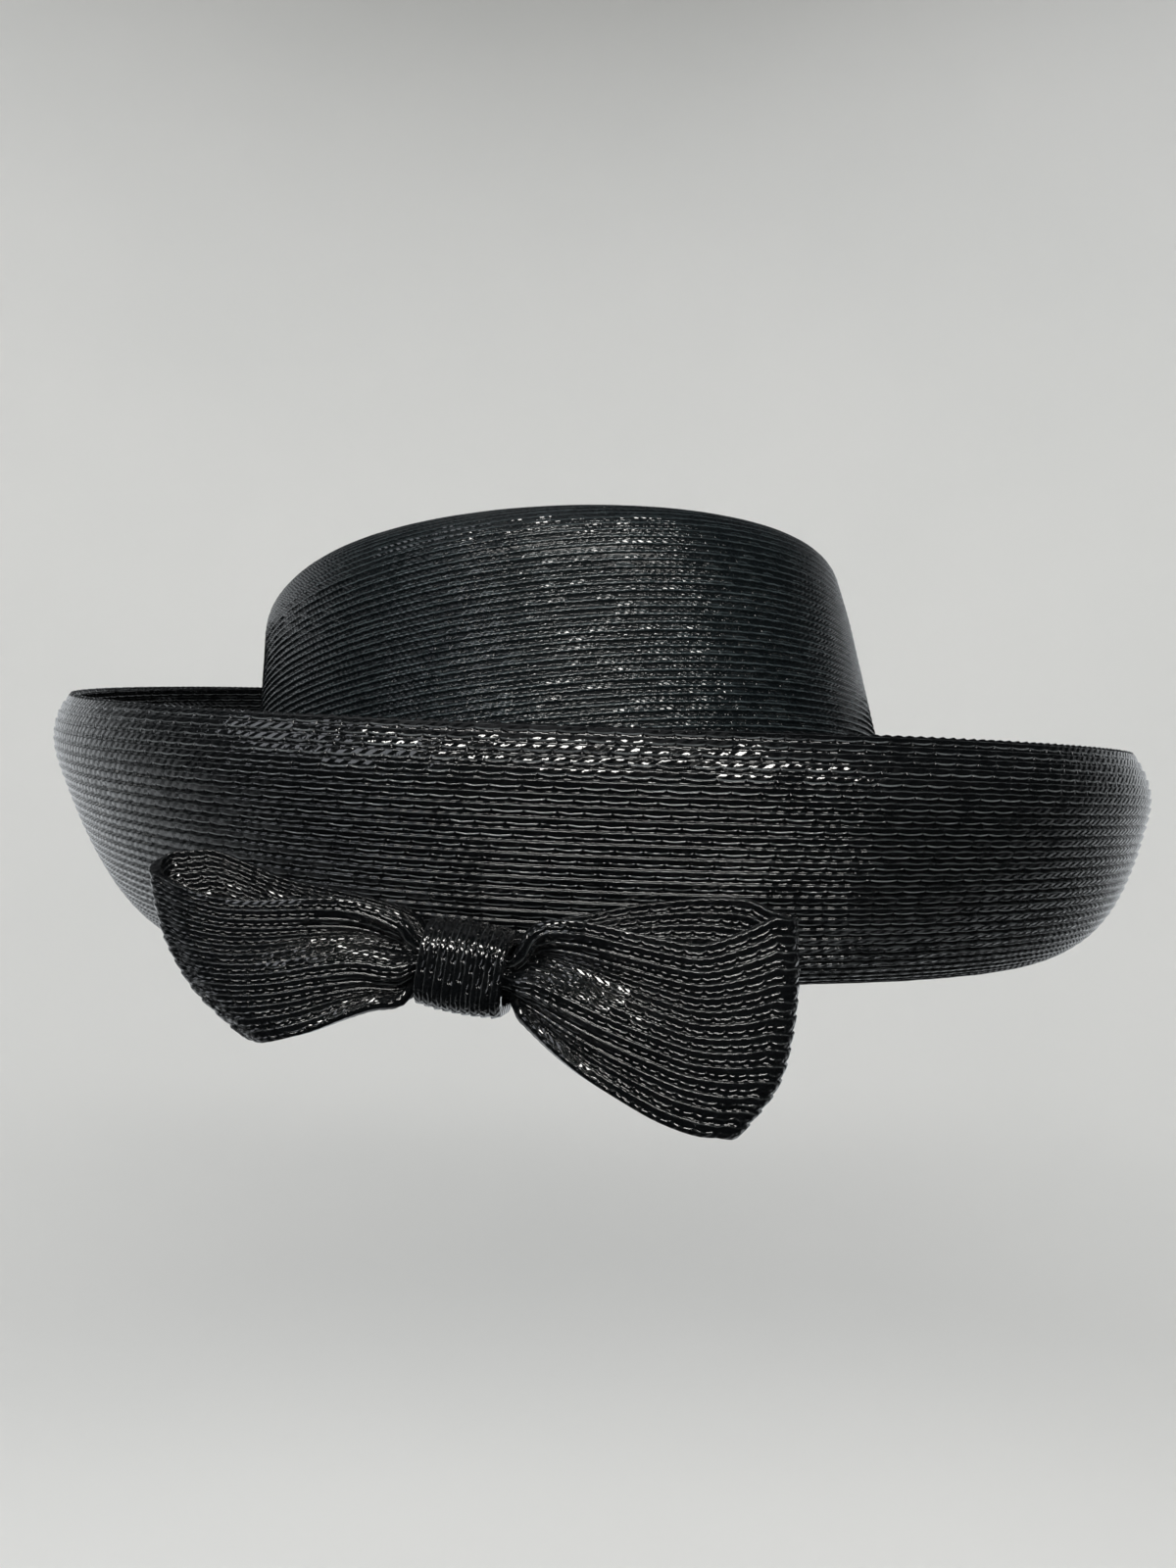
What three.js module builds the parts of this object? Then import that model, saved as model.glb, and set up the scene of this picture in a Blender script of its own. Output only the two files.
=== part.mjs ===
// Sewn straw hat: rounded crown, upturned brim with a curled edge, and a straw bow low on the front.
// Millimetres and degrees. +Z up, -Y is the front, +X is to the right seen from the front.
// The origin is the centre of the head opening, in the plane of the crown's foot.
import * as THREE from 'three';

// Walls and clearance
const STRAW_WALL = 1.7; // two layers of flat braid where the rows overlap
const KNOT_WALL = 2;
const CLEARANCE = 0.3;

// Crown
const CROWN_WIDTH = 174;
const CROWN_LENGTH = 201.2;
const CROWN_HEIGHT = 95.4;
const CROWN_DOME = 4; // rise of the flat top above the shoulder
const CROWN_LEAN = { x: -10.8, y: 2.1 }; // how far the top sits off the foot's centre
const CROWN_SLOPE = { x: 0.0305, y: 0.0089 }; // rise of the top across the hat
const SHOULDER_RADIUS = 12.8;
const SHOULDER_EXTRA = { right: -4.2, back: 3.5 }; // added to the radius on those sides
const FOOT_TUCK = { share: 0.076, height: 0.45 }; // the foot draws in over this share of the height
const TOP_TAPER = { x: 0.154, y: 0.094 }; // share by which the top is smaller than the foot

// Brim
const BRIM_REACH = 52.6;
const BRIM_HEIGHT = 58.4;
const BRIM_CURL = 7.7; // how far the edge turns in over the trough
const CURL_START = 0.8;

// Bow
const BOW_ANGLE = -114.6; // where the knot sits round the brim
const BOW_TILT = 8; // right end hangs lower
const KNOT_RISE = 1.7; // knot's centre above the head opening
const KNOT_WIDTH = 14.6;
const KNOT_HEIGHT = 13.8;
const KNOT_DEPTH = 14.7;
const KNOT_CORNER = 4.5;
const KNOT_SWELL = 0.5; // fuller in the middle than at its two ends
const LEFT_REACH = 58.2;
const RIGHT_REACH = 54;
const LOOP_HEIGHT = 35;
const LOOP_DEPTH = 10.5; // open space between the front and back layers, mid-wall to mid-wall
const LOOP_FORWARD = 1.4; // how far the loops stand away from the brim
const FORWARD_END = 0.3; // share of a loop over which it gets there
const PLEAT_DEPTH = 2.6;
const PLEAT_PITCH = 0.55; // share of the strip's width from ridge to ridge
const PLEAT_RIDGE = 0.95; // share of the width, from the lower edge, where the upper ridge runs
const PLEAT_PRESSED = 0.4; // how much of the pleats is left inside the knot
const BACK_PLEAT = 0.3; // the back layer lies flatter than the front one
const PINCH_END = 0.08; // share of a loop over which it widens out of the knot
const BACK_FOOT_LIFT = 0.8; // the back layer's lower edge follows its upper one by this share

// Shares of BRIM_REACH and BRIM_HEIGHT round the brim, as even and waved parts
const BRIM_ROUND = [
  { waves: 0, reachCos: 1, reachSin: 0, heightCos: 1, heightSin: 0 },
  { waves: 1, reachCos: 0.079, reachSin: 0.032, heightCos: -0.025, heightSin: 0.307 },
  { waves: 2, reachCos: 0.178, reachSin: -0.077, heightCos: -0.04, heightSin: -0.021 },
];

// Control points of the brim's section, foot to edge: shares of reach and height, and what the right side adds
const BRIM_SECTION = [
  { out: 0, outRight: 0, up: 0, upRight: 0 },
  { out: 0.789, outRight: 0.159, up: -0.285, upRight: 0 },
  { out: 0.842, outRight: 0, up: 0.56, upRight: -0.046 },
  { out: 1, outRight: 0, up: 1, upRight: 0 },
];

// Edges of the bow's loops from the knot to the fold, as shares of LOOP_HEIGHT. open is how far the layers
// part, from 0, as close as in the knot, to 1, LOOP_DEPTH.
const LEFT_EDGES = [
  { along: 0.00, top: 0.12, back: 0.12, foot: -0.12, open: 0.0 },
  { along: 0.10, top: 0.19, back: 0.20, foot: -0.22, open: 0.1 },
  { along: 0.25, top: 0.23, back: 0.24, foot: -0.26, open: 0.4 },
  { along: 0.40, top: 0.21, back: 0.25, foot: -0.32, open: 0.8 },
  { along: 0.60, top: 0.16, back: 0.26, foot: -0.41, open: 1.0 },
  { along: 0.75, top: 0.14, back: 0.30, foot: -0.46, open: 1.0 },
  { along: 0.90, top: 0.16, back: 0.34, foot: -0.50, open: 0.6 },
  { along: 1.00, top: 0.19, back: 0.31, foot: -0.51, open: -0.1 },
];
const RIGHT_EDGES = [
  { along: 0.00, top: 0.12, back: 0.12, foot: -0.12, open: 0.0 },
  { along: 0.10, top: 0.27, back: 0.27, foot: -0.20, open: 0.1 },
  { along: 0.25, top: 0.32, back: 0.34, foot: -0.30, open: 0.4 },
  { along: 0.40, top: 0.32, back: 0.41, foot: -0.38, open: 0.8 },
  { along: 0.60, top: 0.31, back: 0.48, foot: -0.46, open: 1.0 },
  { along: 0.75, top: 0.32, back: 0.52, foot: -0.51, open: 1.0 },
  { along: 0.90, top: 0.41, back: 0.54, foot: -0.54, open: 0.6 },
  { along: 1.00, top: 0.49, back: 0.51, foot: -0.54, open: -0.1 },
];

// Line of the outer fold, from the loop's lower edge to its upper one, as shares of each loop's reach
const LOOP_FOLD = [
  { across: 0.00, left: 0.63, right: 0.89 },
  { across: 0.25, left: 0.80, right: 0.98 },
  { across: 0.50, left: 0.90, right: 1.00 },
  { across: 0.75, left: 0.96, right: 0.99 },
  { across: 1.00, left: 1.00, right: 0.96 },
];

// How finely each form is divided
const CROWN_SIDES = 48;
const BRIM_SIDES = 60;
const BRIM_STEPS = 15;
const WALL_STEPS = 8;
const SHOULDER_STEPS = 5;
const TOP_STEPS = 3;
const PINCH_STEPS = 2;
const LAYER_STEPS = 12;
const FOLD_STEPS = 6;
const ACROSS_STEPS = 13;
const KNOT_CORNER_STEPS = 4;
const KNOT_RINGS = 4;

const STRAW_FINISH = { color: 0x0b0c0e, roughness: 0.28, metalness: 0 };

const lerp = THREE.MathUtils.lerp;

function turnsOf(count) {
  return Array.from({ length: count }, (_, i) => (2 * Math.PI * i) / count);
}

// Smooth value of one column of a table at a share between its rows
function tableValue(table, key, column, share) {
  const last = table.length - 1;
  let i = 0;
  while (i < last - 1 && share > table[i + 1][key]) i += 1;
  const rows = [Math.max(i - 1, 0), i, i + 1, Math.min(i + 2, last)].map((k) => table[k]);
  const [before, from, to, after] = rows;
  const span = to[key] - from[key];
  const slopeFrom = ((to[column] - before[column]) / (to[key] - before[key])) * span;
  const slopeTo = ((after[column] - from[column]) / (after[key] - from[key])) * span;
  const t = (share - from[key]) / span;
  const t2 = t * t;
  const t3 = t2 * t;
  return (2 * t3 - 3 * t2 + 1) * from[column] + (t3 - 2 * t2 + t) * slopeFrom
    + (3 * t2 - 2 * t3) * to[column] + (t3 - t2) * slopeTo;
}

// Normals of a grid of points, rows by columns; wrapped says that the columns close on themselves
function gridNormals(grid, wrapped) {
  const columns = grid[0].length;
  const pick = (row, j) => row[wrapped ? (j + columns) % columns : THREE.MathUtils.clamp(j, 0, columns - 1)];
  return grid.map((row, i) => row.map((point, j) => {
    const along = pick(row, j + 1).clone().sub(pick(row, j - 1));
    const across = grid[Math.min(i + 1, grid.length - 1)][j].clone().sub(grid[Math.max(i - 1, 0)][j]);
    return along.cross(across).normalize();
  }));
}

function movedGrid(grid, normals, distance) {
  return grid.map((row, i) => row.map((point, j) => point.clone().addScaledVector(normals[i][j], distance)));
}

// A closed surface from a loop of rings: each ring is joined to the next, and the last to the first
function meshOfRings(rings, closed) {
  const columns = rings[0].length;
  const positions = rings.flat().flatMap((point) => [point.x, point.y, point.z]);
  const faces = [];
  const steps = closed ? rings.length : rings.length - 1;
  for (let i = 0; i < steps; i += 1) {
    for (let j = 0; j < columns; j += 1) {
      const a = i * columns + j;
      const b = i * columns + ((j + 1) % columns);
      const c = ((i + 1) % rings.length) * columns + ((j + 1) % columns);
      const d = ((i + 1) % rings.length) * columns + j;
      faces.push([a, b, c], [a, c, d]);
    }
  }
  return { positions, faces };
}

function geometryOf({ positions, faces }) {
  const geometry = new THREE.BufferGeometry();
  geometry.setAttribute('position', new THREE.Float32BufferAttribute(positions, 3));
  geometry.setIndex(faces.flat());
  geometry.computeVertexNormals();
  return geometry;
}

function strawMesh(name, shape) {
  const mesh = new THREE.Mesh(geometryOf(shape), new THREE.MeshStandardMaterial(STRAW_FINISH));
  mesh.name = name;
  return mesh;
}

// Crown

function crownHalfAxes(share) {
  const tuck = FOOT_TUCK.share * Math.max(0, 1 - share / FOOT_TUCK.height) ** 2;
  return {
    x: (CROWN_WIDTH / 2) * (1 - TOP_TAPER.x * share - tuck),
    y: (CROWN_LENGTH / 2) * (1 - TOP_TAPER.y * share - tuck),
  };
}

function shoulderRadius(turn) {
  return SHOULDER_RADIUS + SHOULDER_EXTRA.right * Math.cos(turn) + SHOULDER_EXTRA.back * Math.sin(turn);
}

// A point of the crown's outer face: its height before the slope, how far the shoulder draws it in, its share
// of the way out from the crown's middle
function crownPoint(turn, height, inset, spread) {
  const share = height / CROWN_HEIGHT;
  const half = crownHalfAxes(share);
  const x = (half.x - inset) * spread * Math.cos(turn);
  const y = (half.y - inset) * spread * Math.sin(turn);
  const rise = 1 + (CROWN_SLOPE.x * x + CROWN_SLOPE.y * y) / CROWN_HEIGHT;
  return new THREE.Vector3(x + CROWN_LEAN.x * share, y + CROWN_LEAN.y * share, height * rise);
}

function crownRings() {
  const turns = turnsOf(CROWN_SIDES);
  const rings = [];
  for (let i = 0; i <= WALL_STEPS; i += 1) {
    const share = i / WALL_STEPS;
    rings.push(turns.map((turn) => crownPoint(turn, (CROWN_HEIGHT - shoulderRadius(turn)) * share, 0, 1)));
  }
  for (let i = 1; i <= SHOULDER_STEPS; i += 1) {
    const bend = (Math.PI / 2) * (i / SHOULDER_STEPS);
    rings.push(turns.map((turn) => {
      const radius = shoulderRadius(turn);
      return crownPoint(turn, CROWN_HEIGHT - radius * (1 - Math.sin(bend)), radius * (1 - Math.cos(bend)), 1);
    }));
  }
  for (let i = 1; i <= TOP_STEPS; i += 1) {
    const spread = 1 - i / (TOP_STEPS + 1);
    const height = CROWN_HEIGHT + CROWN_DOME * (1 - spread ** 2);
    rings.push(turns.map((turn) => crownPoint(turn, height, shoulderRadius(turn), spread)));
  }
  return rings;
}

function crownShape() {
  const outer = crownRings();
  const normals = gridNormals(outer, true);
  normals[0].forEach((normal) => normal.setZ(0).normalize());
  const inner = movedGrid(outer, normals, -STRAW_WALL);
  const shape = meshOfRings([...inner.reverse(), ...outer], false);
  const top = crownPoint(0, CROWN_HEIGHT + CROWN_DOME, 0, 0);
  const count = CROWN_SIDES;
  const tipInside = shape.positions.length / 3;
  shape.positions.push(top.x, top.y, top.z - STRAW_WALL, top.x, top.y, top.z);
  const lastRing = (inner.length + outer.length - 1) * count;
  for (let j = 0; j < count; j += 1) {
    const next = (j + 1) % count;
    shape.faces.push([tipInside, next, j], [tipInside + 1, lastRing + j, lastRing + next]);
  }
  return shape;
}

// Brim

function roundTheBrim(turn, size, cosColumn, sinColumn) {
  return size * BRIM_ROUND.reduce(
    (sum, row) => sum
      + row[cosColumn] * Math.cos(row.waves * turn)
      + row[sinColumn] * Math.sin(row.waves * turn),
    0,
  );
}

// A point of the brim's outer face; share runs from the foot, 0, to the edge, 1
function brimPoint(turn, share) {
  const foot = crownHalfAxes(0);
  const outward = new THREE.Vector2(foot.y * Math.cos(turn), foot.x * Math.sin(turn)).normalize();
  const back = 1 - share;
  const weights = [back ** 3, 3 * share * back ** 2, 3 * share ** 2 * back, share ** 3];
  const right = Math.cos(turn);
  let out = 0;
  let up = 0;
  BRIM_SECTION.forEach((row, i) => {
    out += weights[i] * (row.out + row.outRight * right);
    up += weights[i] * (row.up + row.upRight * right);
  });
  out *= roundTheBrim(turn, BRIM_REACH, 'reachCos', 'reachSin');
  up *= roundTheBrim(turn, BRIM_HEIGHT, 'heightCos', 'heightSin');
  out += CLEARANCE - BRIM_CURL * Math.max(0, (share - CURL_START) / (1 - CURL_START)) ** 2;
  return new THREE.Vector3(
    foot.x * Math.cos(turn) + outward.x * out,
    foot.y * Math.sin(turn) + outward.y * out,
    up,
  );
}

function brimShape() {
  const turns = turnsOf(BRIM_SIDES);
  const outer = [];
  for (let i = 0; i <= BRIM_STEPS; i += 1) {
    const share = (i / BRIM_STEPS) ** 1.1;
    outer.push(turns.map((turn) => brimPoint(turn, share)));
  }
  const inner = movedGrid(outer, gridNormals(outer, true), -STRAW_WALL);
  // The foot's upper corner follows the crown's wall, which spreads as it rises
  inner[0] = turns.map((turn) => {
    const wall = crownPoint(turn, STRAW_WALL, -CLEARANCE, 1);
    return wall.setZ(STRAW_WALL);
  });
  return meshOfRings([...outer, ...inner.reverse()], true);
}

// How far the brim's outer face reaches from the origin, in a direction round the hat and at a height
function brimReachAt(direction, height) {
  let near = null;
  for (let i = 0; i <= 100; i += 1) {
    const share = i / 100;
    let low = direction - 0.5;
    let high = direction + 0.5;
    for (let k = 0; k < 24; k += 1) {
      const middle = (low + high) / 2;
      const point = brimPoint(middle, share);
      const ahead = point.x * Math.sin(direction) - point.y * Math.cos(direction);
      if (ahead > 0) low = middle;
      else high = middle;
    }
    const point = brimPoint(low, share);
    const reach = Math.hypot(point.x, point.y);
    if (near && near.z <= height && point.z > height) {
      return lerp(near.reach, reach, (height - near.z) / (point.z - near.z));
    }
    near = { reach, z: point.z };
  }
  return near.reach;
}

// Bow. Its own frame: x along the bow to the right, -y out from the brim, z up, origin in the knot's middle.

const KNOT_INNER_HEIGHT = KNOT_HEIGHT / 2 - KNOT_WALL;
const KNOT_INNER_DEPTH = KNOT_DEPTH / 2 - KNOT_WALL;
const KNOT_END = KNOT_WIDTH / 2 + CLEARANCE;
const PINCHED_PLEAT = PLEAT_DEPTH * PLEAT_PRESSED;
// Half the pinched strip's height, clear of the knot's round corners
const PINCHED_HEIGHT = KNOT_INNER_HEIGHT - (KNOT_CORNER - KNOT_WALL) * 0.8;
const PINCHED_OFFSET = KNOT_INNER_DEPTH - CLEARANCE - STRAW_WALL / 2 - PINCHED_PLEAT;

// A point on the mid-wall of a loop. along runs from -1 at the bow's middle over 0 at the knot's end to 1 at
// the outer fold; turn runs round that fold, from 0 on the front layer to pi on the back one.
function loopPoint(loop, along, across, turn) {
  const share = Math.max(along, 0);
  const layer = Math.cos(turn);
  const value = (column) => tableValue(loop.edges, 'along', column, share);
  const lift = (LOOP_HEIGHT * (value('back') - value('top')) * (1 - layer)) / 2;
  const free = THREE.MathUtils.smoothstep(share, 0, PINCH_END);
  const top = lerp(PINCHED_HEIGHT, LOOP_HEIGHT * value('top') + lift, free);
  const foot = lerp(-PINCHED_HEIGHT, LOOP_HEIGHT * value('foot') + lift * BACK_FOOT_LIFT, free);
  const offset = lerp(PINCHED_OFFSET, LOOP_DEPTH / 2, value('open'));
  const pleatSize = lerp(PINCHED_PLEAT, PLEAT_DEPTH * (1 - share) ** 2, free) * (layer < 0 ? BACK_PLEAT : 1);
  const pleat = pleatSize * Math.cos((2 * Math.PI * (across - PLEAT_RIDGE)) / PLEAT_PITCH);
  const radius = lerp(PINCHED_OFFSET, LOOP_DEPTH / 2, loop.edges.at(-1).open);
  const straight = loop.reach * tableValue(LOOP_FOLD, 'across', loop.name, across) - radius;
  const length = along < 0
    ? lerp(KNOT_END, CLEARANCE / 2, -along)
    : lerp(KNOT_END, straight, share) + radius * Math.sin(turn);
  const forward = LOOP_FORWARD * THREE.MathUtils.smoothstep(share, 0, FORWARD_END);
  return new THREE.Vector3(loop.side * length, -layer * (offset + pleat) - forward, lerp(foot, top, across));
}

function loopShape(loop) {
  const stations = [];
  for (let i = 0; i <= PINCH_STEPS; i += 1) stations.push({ along: i / PINCH_STEPS - 1, turn: 0 });
  for (let i = 1; i <= LAYER_STEPS; i += 1) stations.push({ along: i / LAYER_STEPS, turn: 0 });
  const back = stations.map((station) => ({ along: station.along, turn: Math.PI })).reverse();
  for (let i = 1; i < FOLD_STEPS; i += 1) stations.push({ along: 1, turn: (Math.PI * i) / FOLD_STEPS });
  stations.push(...back);
  if (loop.side > 0) stations.reverse();
  const shares = Array.from({ length: ACROSS_STEPS + 1 }, (_, i) => i / ACROSS_STEPS);
  const middle = stations.map(
    (station) => shares.map((across) => loopPoint(loop, station.along, across, station.turn)),
  );
  const normals = gridNormals(middle, false);
  const outside = movedGrid(middle, normals, STRAW_WALL / 2);
  const inside = movedGrid(middle, normals, -STRAW_WALL / 2);
  const shape = meshOfRings(outside.map((row, i) => [...row, ...inside[i].reverse()]), false);
  const columns = 2 * shares.length;
  const lastRow = (stations.length - 1) * columns;
  for (let j = 0; j < ACROSS_STEPS; j += 1) {
    const [a, b, c, d] = [j, j + 1, columns - 2 - j, columns - 1 - j];
    shape.faces.push([a, d, c], [a, c, b]);
    shape.faces.push([lastRow + a, lastRow + b, lastRow + c], [lastRow + a, lastRow + c, lastRow + d]);
  }
  return shape;
}

// Rounded rectangle in the y-z plane
function knotOutline(halfDepth, halfHeight, corner) {
  const points = [];
  for (let quarter = 0; quarter < 4; quarter += 1) {
    const start = (Math.PI / 2) * quarter;
    const y = (halfDepth - corner) * Math.sign(Math.cos(start + Math.PI / 4));
    const z = (halfHeight - corner) * Math.sign(Math.sin(start + Math.PI / 4));
    for (let i = 0; i <= KNOT_CORNER_STEPS; i += 1) {
      const turn = start + ((Math.PI / 2) * i) / KNOT_CORNER_STEPS;
      points.push({ y: y + corner * Math.cos(turn), z: z + corner * Math.sin(turn) });
    }
  }
  return points;
}

function knotShape() {
  const ring = (x, grow) => knotOutline(
    KNOT_DEPTH / 2 + grow,
    KNOT_HEIGHT / 2 + grow,
    KNOT_CORNER + grow,
  ).map((point) => new THREE.Vector3(x, point.y, point.z));
  const shares = Array.from({ length: KNOT_RINGS + 1 }, (_, i) => (2 * i) / KNOT_RINGS - 1);
  const outer = shares.map((share) => ring((KNOT_WIDTH / 2) * share, KNOT_SWELL * (1 - share ** 2)));
  const inner = shares.map((share) => ring((-KNOT_WIDTH / 2) * share, -KNOT_WALL));
  return meshOfRings([...outer, ...inner], true);
}

// Distance from the origin at which the knot's back rests against the brim
function knotSeat() {
  const heading = THREE.MathUtils.degToRad(BOW_ANGLE);
  const outline = knotOutline(KNOT_DEPTH / 2 + KNOT_SWELL, KNOT_HEIGHT / 2 + KNOT_SWELL, KNOT_CORNER);
  const seats = outline
    .filter((point) => point.y > 0 && KNOT_RISE + point.z > 0)
    .map((point) => brimReachAt(heading, KNOT_RISE + point.z) + point.y);
  return Math.max(...seats) + CLEARANCE;
}

function bowGroup() {
  const heading = THREE.MathUtils.degToRad(BOW_ANGLE);
  const seat = knotSeat();
  const bow = new THREE.Group();
  bow.position.set(seat * Math.cos(heading), seat * Math.sin(heading), KNOT_RISE);
  bow.rotation.set(0, THREE.MathUtils.degToRad(BOW_TILT), heading + Math.PI / 2, 'ZYX');
  const left = { name: 'left', side: -1, reach: LEFT_REACH, edges: LEFT_EDGES };
  const right = { name: 'right', side: 1, reach: RIGHT_REACH, edges: RIGHT_EDGES };
  bow.add(strawMesh('bow_loop_left', loopShape(left)));
  bow.add(strawMesh('bow_loop_right', loopShape(right)));
  bow.add(strawMesh('bow_knot', knotShape()));
  return bow;
}

const hat = new THREE.Group();
hat.add(strawMesh('crown', crownShape()));
hat.add(strawMesh('brim', brimShape()));
hat.add(bowGroup());

export default hat;
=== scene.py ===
import math

import bmesh
import bpy
import numpy as np
from mathutils import Matrix, Vector


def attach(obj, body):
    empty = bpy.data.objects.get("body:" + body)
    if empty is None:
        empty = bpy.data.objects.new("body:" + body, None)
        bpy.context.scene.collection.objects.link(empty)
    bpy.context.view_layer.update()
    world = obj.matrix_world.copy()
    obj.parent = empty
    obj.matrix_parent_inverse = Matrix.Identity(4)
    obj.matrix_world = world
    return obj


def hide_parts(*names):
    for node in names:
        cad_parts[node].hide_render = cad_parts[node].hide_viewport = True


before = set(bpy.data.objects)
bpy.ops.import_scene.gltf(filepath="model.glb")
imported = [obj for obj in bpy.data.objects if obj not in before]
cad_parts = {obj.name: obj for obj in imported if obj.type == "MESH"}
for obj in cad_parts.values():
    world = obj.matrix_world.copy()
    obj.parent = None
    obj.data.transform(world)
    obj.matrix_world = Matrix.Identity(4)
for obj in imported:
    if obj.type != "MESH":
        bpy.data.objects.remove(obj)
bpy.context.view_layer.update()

print("frame loaded:", ", ".join(sorted(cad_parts)))
mm = 0.001  # the scene is in metres, the sizes of the hat's pieces are in mm


# Small helpers

def linearColour(hexText):  # sRGB hex to the linear colour that the nodes want
    parts = [int(hexText[i:i + 2], 16) / 255 for i in (1, 3, 5)]
    return [c / 12.92 if c <= 0.04045 else ((c + 0.055) / 1.055) ** 2.4 for c in parts] + [1]


def addNode(tree, kind, settings=None, inputs=None):  # inputs are plain values or the sockets that feed them
    node = tree.nodes.new(kind)
    for field, value in (settings or {}).items():
        setattr(node, field, value)
    for key, value in (inputs or {}).items():
        if isinstance(value, bpy.types.NodeSocket):
            tree.links.new(value, node.inputs[key])
        else:
            node.inputs[key].default_value = value
    return node


def smoothStep(x, low, high):  # 0 below low, 1 above high
    t = np.clip((x - low) / (high - low), 0, 1)
    return t * t * (3 - 2 * t)


# Camera: the photo's own place and lens, fitted in the hat's frame

cameraPlace = {
    "position": (-0.09105, -0.31215, 0.0216),
    "forward": (0.2854, 0.9567, 0.0576),
    "up": (-0.0382, -0.0487, 0.9981),
    "lens": 27.08,
    "sensor": 36,
    "nearest": 10 * mm,
}
forward = Vector(cameraPlace["forward"]).normalized()
up = Vector(cameraPlace["up"])
up = (up - forward * up.dot(forward)).normalized()
right = forward.cross(up)
camera = bpy.data.objects.new("camera", bpy.data.cameras.new("camera"))
bpy.context.collection.objects.link(camera)
turned = Matrix((right, up, -forward)).transposed().to_4x4()
turned.translation = Vector(cameraPlace["position"])
camera.matrix_world = turned
camera.data.sensor_fit = "VERTICAL"
camera.data.sensor_height = camera.data.sensor_width = cameraPlace["sensor"]
camera.data.lens = cameraPlace["lens"]
camera.data.clip_start = cameraPlace["nearest"]
bpy.context.scene.camera = camera
print("camera placed")


# Stage: a pale floor that curves up all round, open above

stageSizes = {
    "floor": -0.34, "radius": 1.5, "cove": 0.75, "height": 1.9, "middle": 0.02,  # metres
    "sides": 96, "coveRings": 14,
    "darker": "#dadbda", "paler": "#e1e1e0", "patch": 400 * mm, "roughness": 0.95, "specular": 0.1,
}


def buildStage():
    s = stageSizes
    n = s["sides"]
    section = [(s["middle"], 0.0), (s["radius"] - s["cove"], 0.0)]
    section += [
        (s["radius"] - s["cove"] * (1 - math.sin(a)), s["cove"] * (1 - math.cos(a)))
        for a in np.linspace(0, math.pi / 2, s["coveRings"])[1:]
    ]
    section.append((s["radius"], s["height"]))
    angles = [2 * math.pi * k / n for k in range(n)]
    verts = [(0, 0, s["floor"])]
    faces = []
    for r, z in section:
        verts += [(r * math.cos(a), r * math.sin(a), s["floor"] + z) for a in angles]
    for k in range(n):
        faces.append((0, 1 + k, 1 + (k + 1) % n))
        for i in range(len(section) - 1):
            a, b = 1 + i * n + k, 1 + i * n + (k + 1) % n
            faces.append((a, a + n, b + n, b))
    mesh = bpy.data.meshes.new("pale_floor")
    mesh.from_pydata(verts, [], faces)
    mesh.shade_smooth()
    floor = bpy.data.objects.new("pale_floor", mesh)
    bpy.context.collection.objects.link(floor)
    material = bpy.data.materials.new("matt_white_paper")  # soft, no shine, only a faint unevenness
    material.use_nodes = True
    tree = material.node_tree
    shader = tree.nodes["Principled BSDF"]
    shader.inputs["Roughness"].default_value = s["roughness"]
    shader.inputs["Specular IOR Level"].default_value = s["specular"]
    place = addNode(tree, "ShaderNodeTexCoord")
    noise = addNode(tree, "ShaderNodeTexNoise", None, {
        "Vector": place.outputs["Object"], "Scale": 1 / s["patch"], "Detail": 2.0,
    })
    tint = addNode(tree, "ShaderNodeMix", {"data_type": "RGBA"}, {
        0: noise.outputs["Fac"], 6: linearColour(s["darker"]), 7: linearColour(s["paler"]),
    })
    tree.links.new(tint.outputs[2], shader.inputs["Base Color"])
    mesh.materials.append(material)
    floor.visible_glossy = False  # the lacquer mirrors the pale light and the lamps instead


buildStage()

# Light: a broad soft box for the stage, and three panels that the lacquer mirrors

lightAim = (0, 0, 30 * mm)
lightSizes = {  # places and sizes in metres, power in watts
    "stage": {
        "place": (0.0, 0.0, 1.5), "size": (1.8, 1.8), "power": 11, "colour": "#fbfcff", "mirrored": False,
    },
    "ceiling": {
        "place": (-0.3, -0.1, 1.3), "size": (1.5, 0.8), "power": 0.9, "colour": "#fdfdff", "mirrored": True,
    },
    "front": {
        "place": (-0.28, -0.98, 0.52), "size": (1.4, 0.12), "power": 17, "colour": "#fffdf8", "mirrored": True,
    },
    "window": {
        "place": (-1.1, -0.4, 0.45), "size": (0.4, 0.6), "power": 2.2, "colour": "#f4f8ff", "mirrored": True,
    },
}
for name, light in lightSizes.items():
    lamp = bpy.data.lights.new(f"{name}_light", "AREA")
    lamp.shape = "RECTANGLE"
    lamp.size, lamp.size_y = light["size"]
    lamp.energy = light["power"]
    lamp.color = linearColour(light["colour"])[:3]
    holder = bpy.data.objects.new(f"{name}_light", lamp)
    holder.location = light["place"]
    holder.rotation_mode = "QUATERNION"
    holder.rotation_quaternion = (Vector(lightAim) - Vector(light["place"])).to_track_quat("-Z", "Y")
    holder.visible_glossy = light["mirrored"]
    bpy.context.collection.objects.link(holder)

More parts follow.
